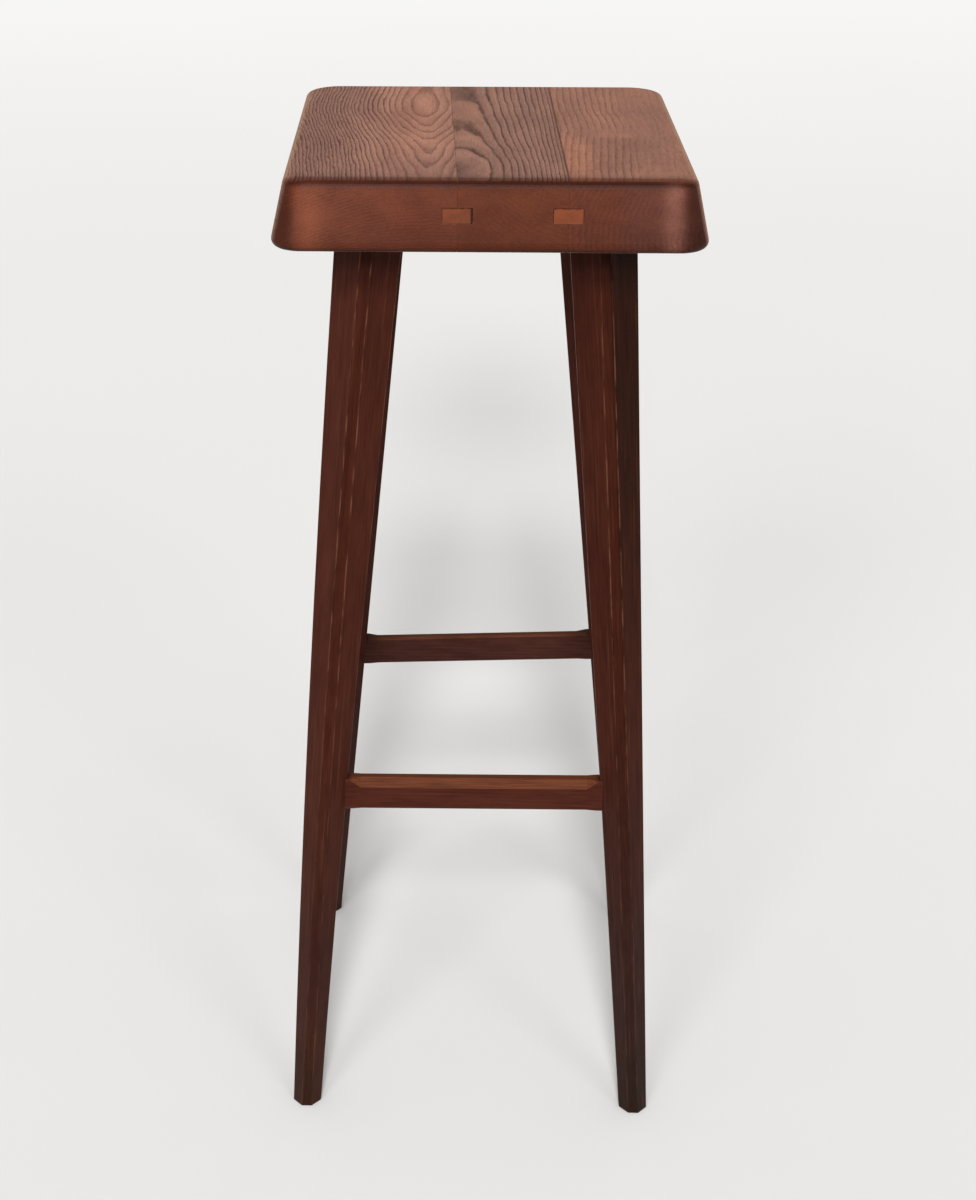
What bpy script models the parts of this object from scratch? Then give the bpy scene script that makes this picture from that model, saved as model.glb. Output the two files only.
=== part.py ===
"""Bar stool: a three-board seat on four splayed, tapering legs tied by four rungs.

Run with: blender --background --python part.py
Metres, +Z up. X runs across the seat and Y runs along its grain.
The origin is on the floor, under the middle of the whole stool.
Every piece is one object with its own material. Joints are cut with real
tenons, mortises and grooves, with a small clearance all round.
"""

from math import atan, cos, pi, radians, sin, sqrt, tan

import bmesh
import bpy
from mathutils import Matrix, Vector

# Clearances and overruns
JOINT_GAP = 0.0003
CUT_OVERRUN = 0.010

# Seat slab, as if it were one piece before the seams are cut
SEAT_HEIGHT = 0.750
SEAT_THICKNESS = 0.044
SEAT_TOP_WIDTH = 0.256
SEAT_TOP_LENGTH = 0.256
SEAT_FLARE = 0.010
SEAT_FRONT_CORNER_RADIUS = 0.014
SEAT_BACK_CORNER_RADIUS = 0.020
SEAT_TOP_ROUND = 0.006
SEAT_BOTTOM_ROUND = 0.006

# Seams between the boards, at the front and back ends of the seat
SEAM_LEFT_FRONT_X = -0.0205
SEAM_LEFT_BACK_X = -0.0246
SEAM_RIGHT_FRONT_X = 0.0481
SEAM_RIGHT_BACK_X = 0.0469

# Loose splines that key the boards together
SPLINE_WIDTH = 0.0184
SPLINE_THICKNESS = 0.0089
SPLINE_DROP = 0.0207

# Legs: places of the centre lines, then the sections at each end
LEG_TOP_SPREAD_X = 0.1514
LEG_TOP_SPREAD_Y = 0.1392
LEG_FOOT_SPREAD_X = 0.2610
LEG_FOOT_SPREAD_Y = 0.2488
LEG_TOP_SIDE = 0.0369
LEG_FOOT_SIDE = 0.0209
LEG_TOP_CHAMFER = 0.0056
LEG_FOOT_CHAMFER = 0.0056
LEG_FOOT_EASE = 0.0010
LEG_TENON_DIAMETER = 0.021
LEG_TENON_DEPTH = 0.030
LEG_TENON_EASE = 0.0015
LEG_TENON_ROOT = 0.010

# How the hand-fitted legs depart from a regular frame square to the seat
LEG_FRAME_ANGLE = radians(-0.86)
LEG_REAR_RIGHT_FOOT_OUTSET = 0.0084
LEG_REAR_RIGHT_TOP_INSET = 0.0046
LEG_FRONT_LEFT_BOW = 0.0028

# Rungs: heights of their middles over the floor, rises from the left leg to
# the right one, then their sections
RUNG_FRONT_HEIGHT = 0.2838
RUNG_FRONT_RISE = 0.0024
RUNG_REAR_HEIGHT = 0.2919
RUNG_REAR_RISE = 0.0095
RUNG_SIDE_HEIGHT = 0.3280
RUNG_FRONT_DEPTH = 0.0262
RUNG_REAR_DEPTH = 0.0239
RUNG_SIDE_DEPTH = 0.0239
RUNG_WIDTH = 0.0105
RUNG_EASE = 0.0008
RUNG_OUTER_CHAMFER_IN = 0.0035
RUNG_OUTER_CHAMFER_DOWN = 0.0072
RUNG_INNER_CHAMFER = 0.0015
RUNG_BOTTOM_CHAMFER = 0.0015
RUNG_WAIST = 0.0004
RUNG_STOP_LENGTH = 0.0030
RUNG_STOP_RUNOUT = 0.0080
RUNG_TENON_WIDTH = 0.0065
RUNG_TENON_HEIGHT = 0.0150
RUNG_TENON_DEPTH = 0.0190
RUNG_TENON_ROOT = 0.0120

# Facet counts and shading
CORNER_FACETS = 10
ROUND_FACETS = 6
TENON_FACETS = 24
LEG_BOW_FACETS = 8
SHARP_ANGLE = pi / 6

# Colours of the stained wood, linear
SEAT_SIDE_COLOUR = (0.215, 0.105, 0.078, 1.0)
SEAT_MIDDLE_COLOUR = (0.190, 0.095, 0.070, 1.0)
SPLINE_COLOUR = (0.150, 0.055, 0.032, 1.0)
LEG_COLOUR = (0.062, 0.020, 0.012, 1.0)
RUNG_COLOUR = (0.090, 0.027, 0.016, 1.0)
WOOD_ROUGHNESS = 0.5

# Sides of the stool that each leg stands on
LEG_SIDES = {
    "leg_front_left": (-1, -1),
    "leg_front_right": (1, -1),
    "leg_rear_left": (-1, 1),
    "leg_rear_right": (1, 1),
}

SEAT_UNDERSIDE = SEAT_HEIGHT - SEAT_THICKNESS
SEAT_SLOPE = atan(SEAT_FLARE / SEAT_THICKNESS)
SEAT_HALF_WIDTH = SEAT_TOP_WIDTH / 2
SEAT_HALF_LENGTH = SEAT_TOP_LENGTH / 2
SEAT_REACH_X = SEAT_HALF_WIDTH + SEAT_FLARE + CUT_OVERRUN
SEAT_REACH_Y = SEAT_HALF_LENGTH + SEAT_FLARE + CUT_OVERRUN
LEG_FRAME_TURN = Matrix.Rotation(LEG_FRAME_ANGLE, 3, "Z")


def clear_scene():
    """Remove every object that the scene starts with."""
    for obj in list(bpy.data.objects):
        bpy.data.objects.remove(obj, do_unlink=True)


def add_stand(middle):
    """The empty that carries every piece and centres the stool on the origin."""
    stand = bpy.data.objects.new("stool", None)
    stand.location = -middle
    bpy.context.scene.collection.objects.link(stand)
    return stand


def make_material(name, colour):
    """A plain stained-wood material in the given colour."""
    material = bpy.data.materials.new(name)
    material.use_nodes = True
    shader = material.node_tree.nodes["Principled BSDF"]
    shader.inputs["Base Color"].default_value = colour
    shader.inputs["Roughness"].default_value = WOOD_ROUGHNESS
    shader.inputs["Metallic"].default_value = 0.0
    material.diffuse_color = colour
    return material


def add_object(name, mesh_bm, material=None):
    """Turn a bmesh into an object, with its faces turned outward."""
    bmesh.ops.recalc_face_normals(mesh_bm, faces=mesh_bm.faces)
    mesh = bpy.data.meshes.new(name)
    mesh_bm.to_mesh(mesh)
    mesh_bm.free()
    obj = bpy.data.objects.new(name, mesh)
    bpy.context.scene.collection.objects.link(obj)
    if material:
        mesh.materials.append(material)
    mesh.shade_smooth()
    mesh.set_sharp_from_angle(angle=SHARP_ANGLE)
    return obj


def add_cutter(name, mesh_bm):
    """An object that only cuts or joins others and is never drawn."""
    cutter = add_object(name, mesh_bm)
    cutter.hide_render = True
    cutter.display_type = "WIRE"
    return cutter


def combine(obj, cutter, operation):
    """Cut, join or intersect an object with a cutter."""
    modifier = obj.modifiers.new(f"{operation.lower()}_{cutter.name}", "BOOLEAN")
    modifier.operation = operation
    modifier.solver = "EXACT"
    modifier.object = cutter


def loft(rings):
    """A closed body through rings that all have the same number of points."""
    mesh_bm = bmesh.new()
    loops = [[mesh_bm.verts.new(point) for point in ring] for ring in rings]
    count = len(loops[0])
    for lower, upper in zip(loops, loops[1:]):
        for i in range(count):
            j = (i + 1) % count
            mesh_bm.faces.new((lower[i], lower[j], upper[j], upper[i]))
    mesh_bm.faces.new(list(reversed(loops[0])))
    mesh_bm.faces.new(loops[-1])
    return mesh_bm


def prism(plan, low, high):
    """A straight prism over a plan outline, from one height to another."""
    return loft([[Vector((x, y, z)) for x, y in plan] for z in (low, high)])


# Seat

def seat_edge_profile():
    """Sideways offset from the top outline and height, from bottom to top."""
    steps = range(ROUND_FACETS + 1)
    profile = []
    bottom_centre = SEAT_THICKNESS - SEAT_BOTTOM_ROUND
    bottom_middle = tan(SEAT_SLOPE) * bottom_centre - SEAT_BOTTOM_ROUND / cos(SEAT_SLOPE)
    for step in reversed(steps):
        angle = -SEAT_SLOPE + (pi / 2 + SEAT_SLOPE) * step / ROUND_FACETS
        offset = bottom_middle + SEAT_BOTTOM_ROUND * cos(angle)
        drop = bottom_centre + SEAT_BOTTOM_ROUND * sin(angle)
        profile.append((offset, SEAT_HEIGHT - drop))
    top_middle = tan(SEAT_SLOPE) * SEAT_TOP_ROUND - SEAT_TOP_ROUND / cos(SEAT_SLOPE)
    for step in reversed(steps):
        angle = (pi / 2 - SEAT_SLOPE) * step / ROUND_FACETS
        offset = top_middle + SEAT_TOP_ROUND * sin(angle)
        drop = SEAT_TOP_ROUND - SEAT_TOP_ROUND * cos(angle)
        profile.append((offset, SEAT_HEIGHT - drop))
    return profile


def seat_outline(offset, height):
    """The seat's rounded outline, grown by an offset, at one height."""
    points = []
    for quarter, (side_x, side_y) in enumerate(((1, 1), (-1, 1), (-1, -1), (1, -1))):
        radius = SEAT_BACK_CORNER_RADIUS if side_y > 0 else SEAT_FRONT_CORNER_RADIUS
        centre_x = side_x * (SEAT_HALF_WIDTH + offset - radius)
        centre_y = side_y * (SEAT_HALF_LENGTH + offset - radius)
        for step in range(CORNER_FACETS + 1):
            angle = (quarter + step / CORNER_FACETS) * pi / 2
            x = centre_x + radius * cos(angle)
            y = centre_y + radius * sin(angle)
            points.append(Vector((x, y, height)))
    return points


def seat_body():
    """The whole seat slab before its seams are cut."""
    return loft([seat_outline(offset, height) for offset, height in seat_edge_profile()])


def seam_point(front_x, back_x, y):
    """Where a seam's line is at a place along the seat."""
    share = (y + SEAT_HALF_LENGTH) / SEAT_TOP_LENGTH
    return front_x + (back_x - front_x) * share


def strip_plan(left_seam, right_seam, left_inset, right_inset):
    """Plan of the strip between two lines that run the length of the seat."""
    plan = []
    for y in (-SEAT_REACH_Y, SEAT_REACH_Y):
        left = seam_point(*left_seam, y) + left_inset
        right = seam_point(*right_seam, y) - right_inset
        plan.append((left, right, y))
    (left_front, right_front, front), (left_back, right_back, back) = plan
    return [(left_front, front), (right_front, front), (right_back, back), (left_back, back)]


LEFT_SEAM = (SEAM_LEFT_FRONT_X, SEAM_LEFT_BACK_X)
RIGHT_SEAM = (SEAM_RIGHT_FRONT_X, SEAM_RIGHT_BACK_X)
LEFT_LIMIT = (-SEAT_REACH_X, -SEAT_REACH_X)
RIGHT_LIMIT = (SEAT_REACH_X, SEAT_REACH_X)


def spline_block(seam, clearance):
    """The straight key along a seam, grown by a clearance."""
    plan = strip_plan(seam, seam, -SPLINE_WIDTH / 2 - clearance, -SPLINE_WIDTH / 2 - clearance)
    middle = SEAT_HEIGHT - SPLINE_DROP
    half = SPLINE_THICKNESS / 2 + clearance
    return prism(plan, middle - half, middle + half)


def make_seat_board(name, left_line, right_line, grooves, mortises, material):
    """One board of the seat with its grooves and its leg mortises."""
    board = add_object(name, seat_body(), material)
    half_gap = JOINT_GAP / 2
    plan = strip_plan(left_line, right_line, half_gap, half_gap)
    strip = prism(plan, SEAT_UNDERSIDE - CUT_OVERRUN, SEAT_HEIGHT + CUT_OVERRUN)
    combine(board, add_cutter(f"{name}_strip", strip), "INTERSECT")
    for cutter in grooves + mortises:
        combine(board, cutter, "DIFFERENCE")
    return board


def make_spline(name, seam, material):
    """A spline that ends flush with the seat's sloping end faces."""
    spline = add_object(name, seat_body(), material)
    combine(spline, add_cutter(f"{name}_block", spline_block(seam, 0)), "INTERSECT")
    return spline


# Legs

def leg_centre(sides, height):
    """A point on a leg's centre line at one height over the floor."""
    foot = Vector((sides[0] * LEG_FOOT_SPREAD_X / 2, sides[1] * LEG_FOOT_SPREAD_Y / 2, 0))
    top = Vector((sides[0] * LEG_TOP_SPREAD_X / 2, sides[1] * LEG_TOP_SPREAD_Y / 2, SEAT_UNDERSIDE))
    if sides == LEG_SIDES["leg_rear_right"]:
        foot.x += LEG_REAR_RIGHT_FOOT_OUTSET
        top.x -= LEG_REAR_RIGHT_TOP_INSET
    share = height / SEAT_UNDERSIDE
    centre = foot.lerp(top, share)
    if sides == LEG_SIDES["leg_front_left"]:
        centre.x -= 4 * LEG_FRONT_LEFT_BOW * share * (1 - share)
    return LEG_FRAME_TURN @ centre


def leg_axis(sides):
    """Direction of a leg from its foot to its top."""
    return (leg_centre(sides, SEAT_UNDERSIDE) - leg_centre(sides, 0)).normalized()


def leg_side(height):
    """Width across the flats of a leg at one height."""
    share = height / SEAT_UNDERSIDE
    return LEG_FOOT_SIDE + (LEG_TOP_SIDE - LEG_FOOT_SIDE) * share


def leg_chamfer(height):
    """Size of a leg's corner chamfers at one height."""
    share = height / SEAT_UNDERSIDE
    return LEG_FOOT_CHAMFER + (LEG_TOP_CHAMFER - LEG_FOOT_CHAMFER) * share


def leg_heights(sides, low, high):
    """Heights of a leg's sections: its ends, and steps between if it bows."""
    steps = LEG_BOW_FACETS if sides == LEG_SIDES["leg_front_left"] else 1
    return [low + (high - low) * step / steps for step in range(steps + 1)]


def leg_section(sides, height, growth):
    """The chamfered section of a leg in a level plane, flats to the diagonals."""
    axis = leg_axis(sides)
    outward = LEG_FRAME_TURN @ Vector((sides[0], sides[1], 0)).normalized()
    outward = (outward - axis * outward.dot(axis)).normalized()
    sideways = axis.cross(outward)
    half = leg_side(height) / 2 + growth
    chamfer = leg_chamfer(height) + (2 - sqrt(2)) * growth
    inner = half - chamfer
    corners = ((half, -inner), (half, inner), (inner, half), (-inner, half),
               (-half, inner), (-half, -inner), (-inner, -half), (inner, -half))
    centre = leg_centre(sides, height)
    points = []
    for along, across in corners:
        point = centre + outward * along + sideways * across
        level = (height - point.z) / axis.z
        points.append(point + axis * level)
    return points


def leg_body(sides, growth, low, high):
    """The tapered shaft of a leg between two heights."""
    heights = leg_heights(sides, low, high)
    return loft([leg_section(sides, height, growth) for height in heights])


def leg_shaft(sides):
    """A leg's shaft with its eased foot, up to the shoulder under the seat."""
    heights = leg_heights(sides, LEG_FOOT_EASE, SEAT_UNDERSIDE - JOINT_GAP)
    sections = [leg_section(sides, height, 0) for height in heights]
    return loft([leg_section(sides, 0, -LEG_FOOT_EASE)] + sections)


def leg_tenon(sides, clearance, root):
    """The round tenon on a leg's top, along the leg's own direction."""
    axis = leg_axis(sides)
    start = leg_centre(sides, SEAT_UNDERSIDE) - axis * root
    sideways = axis.cross(Vector((0, 1, 0))).normalized()
    forward = axis.cross(sideways)
    radius = LEG_TENON_DIAMETER / 2 + clearance
    length = root + LEG_TENON_DEPTH + clearance
    stations = ((0, radius), (length - LEG_TENON_EASE, radius), (length, radius - LEG_TENON_EASE))
    rings = []
    for along, size in stations:
        ring = []
        for step in range(TENON_FACETS):
            angle = 2 * pi * step / TENON_FACETS
            ring.append(start + axis * along + (sideways * cos(angle) + forward * sin(angle)) * size)
        rings.append(ring)
    return loft(rings)


def make_leg(name, sides, rung_mortises, material):
    """One leg with its tenon for the seat and its mortises for the rungs."""
    leg = add_object(name, leg_shaft(sides), material)
    tenon = add_cutter(f"{name}_tenon", leg_tenon(sides, 0, LEG_TENON_ROOT))
    combine(leg, tenon, "UNION")
    for cutter in rung_mortises:
        combine(leg, cutter, "DIFFERENCE")
    return leg


# Rungs

def leg_half_diagonal(height):
    """Distance from a leg's centre line to the flat on one of its corners."""
    return (leg_side(height) - leg_chamfer(height)) / sqrt(2)


class Rung:
    """A rung between two legs, with its own frame at the first leg.

    The rungs follow each other round the stool, so that every rung's across
    direction points into the stool.
    """

    def __init__(self, name, ends, heights, depth):
        self.name = name
        self.ends = ends
        self.depth = depth
        centres = [leg_centre(LEG_SIDES[leg], height) for leg, height in zip(ends, heights)]
        self.start = centres[0]
        self.length = (centres[1] - centres[0]).length
        self.along = (centres[1] - centres[0]).normalized()
        self.across = Vector((0, 0, 1)).cross(self.along).normalized()
        self.up = self.along.cross(self.across)
        self.shoulders = [leg_half_diagonal(height) for height in heights]

    def point(self, along, across, up):
        """A point in the rung's own frame."""
        return self.start + self.along * along + self.across * across + self.up * up

    def section(self, along, waist, outer_in, outer_down, inner, bottom):
        """The chamfered section of the rung at one place along it."""
        side = RUNG_WIDTH / 2 - waist
        top = self.depth / 2
        corners = ((side, -top + bottom), (side, top - inner),
                   (side - inner, top), (-side + outer_in, top),
                   (-side, top - outer_down), (-side, -top + bottom),
                   (-side + bottom, -top), (side - bottom, -top))
        return [self.point(along, across, up) for across, up in corners]

    def body(self):
        """The bar from leg centre to leg centre, with stopped chamfers."""
        plain = (0, RUNG_EASE, RUNG_EASE, RUNG_EASE, RUNG_EASE)
        worked = (RUNG_WAIST, RUNG_OUTER_CHAMFER_IN, RUNG_OUTER_CHAMFER_DOWN,
                  RUNG_INNER_CHAMFER, RUNG_BOTTOM_CHAMFER)
        first_stop = self.shoulders[0] + RUNG_STOP_LENGTH
        second_stop = self.length - self.shoulders[1] - RUNG_STOP_LENGTH
        return loft([
            self.section(0, *plain),
            self.section(first_stop, *plain),
            self.section(first_stop + RUNG_STOP_RUNOUT, *worked),
            self.section(second_stop - RUNG_STOP_RUNOUT, *worked),
            self.section(second_stop, *plain),
            self.section(self.length, *plain),
        ])

    def tenon(self, end, clearance):
        """The tenon in one leg, grown by a clearance for its mortise."""
        shoulder = self.shoulders[end]
        tip = shoulder - RUNG_TENON_DEPTH - clearance
        root = shoulder + RUNG_TENON_ROOT
        half_width = RUNG_TENON_WIDTH / 2 + clearance
        half_height = RUNG_TENON_HEIGHT / 2 + clearance
        corners = ((half_width, -half_height), (half_width, half_height),
                   (-half_width, half_height), (-half_width, -half_height))
        rings = []
        for inset in (tip, root):
            along = inset if end == 0 else self.length - inset
            rings.append([self.point(along, across, up) for across, up in corners])
        return loft(rings)


def make_rung(rung, leg_clearances, material):
    """One rung, scribed to its two legs, with a tenon in each."""
    obj = add_object(rung.name, rung.body(), material)
    for leg_name in rung.ends:
        combine(obj, leg_clearances[leg_name], "DIFFERENCE")
    for end in (0, 1):
        tenon = add_cutter(f"{rung.name}_tenon_{end}", rung.tenon(end, 0))
        combine(obj, tenon, "UNION")
    return obj


def sloping_heights(middle, rise):
    """Heights of a rung's first and second ends."""
    return middle - rise / 2, middle + rise / 2


def rung_list():
    """The four rungs, in turn round the stool."""
    front = sloping_heights(RUNG_FRONT_HEIGHT, RUNG_FRONT_RISE)
    rear = sloping_heights(RUNG_REAR_HEIGHT, -RUNG_REAR_RISE)
    sides = sloping_heights(RUNG_SIDE_HEIGHT, 0)
    return [
        Rung("rung_front", ("leg_front_left", "leg_front_right"), front, RUNG_FRONT_DEPTH),
        Rung("rung_right", ("leg_front_right", "leg_rear_right"), sides, RUNG_SIDE_DEPTH),
        Rung("rung_rear", ("leg_rear_right", "leg_rear_left"), rear, RUNG_REAR_DEPTH),
        Rung("rung_left", ("leg_rear_left", "leg_front_left"), sides, RUNG_SIDE_DEPTH),
    ]


def make_frame():
    """The legs and the rungs."""
    rungs = rung_list()
    leg_clearances = {}
    for name, sides in LEG_SIDES.items():
        mortises = []
        for rung in rungs:
            if name in rung.ends:
                end = rung.ends.index(name)
                cutter_name = f"{name}_mortise_{rung.name}"
                mortises.append(add_cutter(cutter_name, rung.tenon(end, JOINT_GAP)))
        make_leg(name, sides, mortises, make_material(f"{name}_wood", LEG_COLOUR))
        clearance = leg_body(sides, JOINT_GAP, 0, SEAT_UNDERSIDE)
        leg_clearances[name] = add_cutter(f"{name}_clearance", clearance)
    for rung in rungs:
        make_rung(rung, leg_clearances, make_material(f"{rung.name}_wood", RUNG_COLOUR))


def make_seat():
    """The three boards and the two splines between them."""
    grooves = {}
    for side, seam in (("left", LEFT_SEAM), ("right", RIGHT_SEAM)):
        grooves[side] = add_cutter(f"seat_groove_{side}", spline_block(seam, JOINT_GAP))
        make_spline(f"seat_spline_{side}", seam, make_material(f"spline_{side}_wood", SPLINE_COLOUR))
    mortises = {-1: [], 1: []}
    for name, sides in LEG_SIDES.items():
        cutter = add_cutter(f"{name}_seat_mortise", leg_tenon(sides, JOINT_GAP, LEG_TENON_ROOT))
        mortises[sides[0]].append(cutter)
    make_seat_board("seat_board_left", LEFT_LIMIT, LEFT_SEAM, [grooves["left"]], mortises[-1],
                    make_material("seat_left_wood", SEAT_SIDE_COLOUR))
    make_seat_board("seat_board_centre", LEFT_SEAM, RIGHT_SEAM, [grooves["left"], grooves["right"]],
                    [], make_material("seat_centre_wood", SEAT_MIDDLE_COLOUR))
    make_seat_board("seat_board_right", RIGHT_SEAM, RIGHT_LIMIT, [grooves["right"]], mortises[1],
                    make_material("seat_right_wood", SEAT_SIDE_COLOUR))


def stool_middle():
    """Where the middle of the seat and the feet together lies on the floor."""
    widest = max(offset for offset, height in seat_edge_profile())
    points = seat_outline(widest, 0)
    for sides in LEG_SIDES.values():
        points += leg_section(sides, LEG_FOOT_EASE, 0)
    across = [point.x for point in points]
    along = [point.y for point in points]
    return Vector((min(across) + max(across), min(along) + max(along), 0)) / 2


def main():
    clear_scene()
    make_seat()
    make_frame()
    stand = add_stand(stool_middle())
    for obj in bpy.context.scene.objects:
        if obj != stand:
            obj.parent = stand


main()
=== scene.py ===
"""Looks of the wooden bar stool: stained, coarse-grained wood on a pale floor.

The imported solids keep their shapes. Each one gets its own procedural wood, laid
out in the stool's own frame, and thin plates of glue fill the seat's seams.
Lengths in the wood's fields are in millimetres, and all others are in metres.
"""

import math
from collections import namedtuple
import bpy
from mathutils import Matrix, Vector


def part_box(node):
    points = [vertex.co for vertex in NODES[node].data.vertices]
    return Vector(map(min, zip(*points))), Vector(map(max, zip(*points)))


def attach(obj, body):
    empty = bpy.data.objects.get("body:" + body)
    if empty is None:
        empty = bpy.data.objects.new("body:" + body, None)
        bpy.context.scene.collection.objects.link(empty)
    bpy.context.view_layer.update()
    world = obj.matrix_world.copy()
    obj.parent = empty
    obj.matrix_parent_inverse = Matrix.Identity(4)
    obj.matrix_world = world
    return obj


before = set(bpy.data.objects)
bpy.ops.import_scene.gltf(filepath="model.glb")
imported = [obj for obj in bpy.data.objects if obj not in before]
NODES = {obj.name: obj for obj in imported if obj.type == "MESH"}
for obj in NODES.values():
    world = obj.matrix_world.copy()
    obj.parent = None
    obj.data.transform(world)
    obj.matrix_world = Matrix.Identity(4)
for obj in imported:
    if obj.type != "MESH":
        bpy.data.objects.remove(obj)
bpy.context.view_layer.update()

from types import SimpleNamespace

import bmesh
import bpy
from mathutils import Matrix, Vector

MILLIMETRES = 1000.0

# Frame of the stool
SEAT_LOW, SEAT_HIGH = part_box("seat_board_centre")
SEAT_UNDERSIDE = SEAT_LOW.z
SEAT_MIDDLE_X = -0.0042
SEAT_ORIGIN = Vector((SEAT_MIDDLE_X, 0, SEAT_HIGH.z))
LEG_TOP_SPREAD = (0.1514, 0.1392)
LEG_FOOT_SPREAD = (0.2610, 0.2488)
LEG_REAR_RIGHT_FOOT_OUTSET = 0.0084
LEG_REAR_RIGHT_TOP_INSET = 0.0046
LEG_FRAME_ANGLE = math.radians(-0.86)
LEG_BOWS = {"leg_front_left": 0.0028}
LEG_SIDES = {
    "leg_front_left": (-1, -1),
    "leg_front_right": (1, -1),
    "leg_rear_left": (-1, 1),
    "leg_rear_right": (1, 1),
}
RUNG_AXES = {
    "rung_front": Vector((1, 0, 0)),
    "rung_right": Vector((0, 1, 0)),
    "rung_rear": Vector((1, 0, 0)),
    "rung_left": Vector((0, 1, 0)),
}

# Section of a leg in millimetres: half its width, how that grows up the leg, and its chamfers
LEG_FOOT_HALF = 10.45
LEG_TAPER_SHARE = 0.01126
LEG_CHAMFER = 5.6

# Camera, with its tilt up from straight down, its lean and its heading in degrees
CAMERA_PLACE = Vector((-0.03316, -1.24631, 1.05948))
CAMERA_ANGLES = (61.758, -0.058, 0.910)
CAMERA_LENS = 55.5
CAMERA_SENSOR = 36.0
CAMERA_SHIFT_X = 0.06078
CAMERA_CLIP = (0.01, 100.0)

# Distant soft lights: bearing, height and breadth in degrees, and strength
WINDOWS = {
    "left window": (-25.0, 34.0, 18.0, 0.67),
    "right window": (35.0, 34.0, 18.0, 0.34),
    "low front window": (-2.0, 28.0, 9.0, 1.34),
    "high front window": (-2.0, 42.0, 9.0, 0.94),
}
SKY_COLOUR = (1.0, 0.995, 0.985, 1.0)
SKY_STRENGTH = 0.47
SKY_SEEN_STRENGTH = 0.41

# Floor
FLOOR_REACH = 14.0
FLOOR_COLOURS = ((0.790, 0.785, 0.772, 1.0), (0.810, 0.806, 0.795, 1.0))
FLOOR_SEED = 91.0
FLOOR_ROUGHNESS = 0.9
FLOOR_FAR = (1500.0, 5000.0)
FLOOR_GLOW = 0.09
WHITE = (1.0, 1.0, 1.0, 1.0)

# Glue plates in the seams between the boards
SEAM_GAP = 0.0003
SEAM_DEPTH = 0.005
SEAM_LEVEL_SHARE = 0.99
GLUE_WIDTH = 0.0002
GLUE_INSET = 0.0001
WELD_DISTANCE = 0.000001
FLAT_ANGLE = 0.001

# Sockets of a Mix node in its colour mode: the factor and the two colours, and the result
MIX_INPUTS = (0, 6, 7)
MIX_RESULT = 2

# Each noise of a wood: its lengths across, along and down the seat's grain, or
# across and along a leg's, the step from the wood's own seed, and its fineness.
Noise = namedtuple("Noise", "lengths step detail roughness", defaults=(2.0, 0.5))
NOISE_MIDDLE = 0.5

SEAT_NOISES = {
    "drift": Noise((26.0, 60.0, 90.0), 0.0, 1.0),
    "ripple": Noise((4.0, 22.0, 30.0), 0.5),
    "fibres": Noise((0.8, 30.0, 2.0), 1.0, 3.0, 0.65),
    "pores": Noise((0.32, 6.0, 0.6), 2.0, 2.0, 0.6),
    "waver": Noise((7.0, 28.0, 20.0), 3.0),
    "clouds": Noise((24.0, 70.0, 38.0), 4.0),
    "end_clouds": Noise((26.0, 60.0, 15.0), 5.0, 3.0, 0.6),
    "end_specks": Noise((1.5, 6.0, 0.8), 6.0, 3.0, 0.6),
    "calm": Noise((34.0, 60.0, 18.0), 7.0, 1.0),
    "end_wave": Noise((9.0, 60.0, 4.0), 8.0),
    "grit": Noise((2.0, 10.0, 4.0), 9.0, 2.0, 0.6),
}
STICK_NOISES = {
    "drift": Noise((40.0, 40.0, 260.0), 0.0, 1.0),
    "fibres": Noise((0.9, 0.9, 55.0), 1.0, 3.0, 0.65),
    "pores": Noise((0.4, 0.4, 9.0), 2.0, 2.0, 0.6),
    "clouds": Noise((22.0, 22.0, 110.0), 3.0),
    "streaks": Noise((2.2, 2.2, 90.0), 4.0),
    "blotches": Noise((7.0, 7.0, 26.0), 5.0, 3.0, 0.6),
    "chips": Noise((1.6, 1.6, 16.0), 6.0),
}
SPLINE_NOISES = {
    "clouds": Noise((9.0, 40.0, 6.0), 0.0),
    "specks": Noise((0.5, 3.0, 0.5), 1.0, 1.0),
    "frayed": Noise((2.5, 20.0, 2.5), 2.0, 1.0),
}
GLUE_NOISES = {"specks": Noise((1.2, 6.0, 1.2), 0.0)}
GLUE_SEED = 27.0
FLOOR_NOISE = Noise((900.0, 900.0, 900.0), 0.0)

# A mark tints a colour by its factor, as far as a field has gone from its start
# to its end, times its share.
Mark = namedtuple("Mark", "start end share factor")

# Seat's top
CLOUDY = (0.3, 0.7)
LIGHT_TINT = (1.16, 1.08, 1.0, 1.0)
DULL_TINT = (0.74, 0.73, 0.74, 1.0)
RIDGE_TINT = (1.16, 1.17, 1.18, 1.0)
STAIN_TINT = (0.22, 0.160, 0.140, 1.0)
FIBRE_MARK = Mark(0.60, 0.34, 0.8, (0.72, 0.68, 0.66, 1.0))
GRIT_MARK = Mark(0.52, 0.34, 0.6, (0.78, 0.74, 0.72, 1.0))
LINE_CORE = 0.05
LINE_ONSET = (0.94, 1.0)
RIDGE_TURN = (0.62, 0.90, 0.12)
DRIFT_RINGS = 0.5
RIPPLE_RINGS = 0.45
DEPTH_RINGS = 0.2
SIDE_FACING = (0.3, 0.7)
SIDE_FADE = 0.6
OPEN_PORES = (0.50, 0.66)
LONG_PORES = (0.35, 0.6)
PORE_SHARE = 0.30
LINE_WAVER = (0.30, 0.62)
LINE_WAVER_LEAST = 0.55
LINE_DASH_LEAST = 0.70

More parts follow.
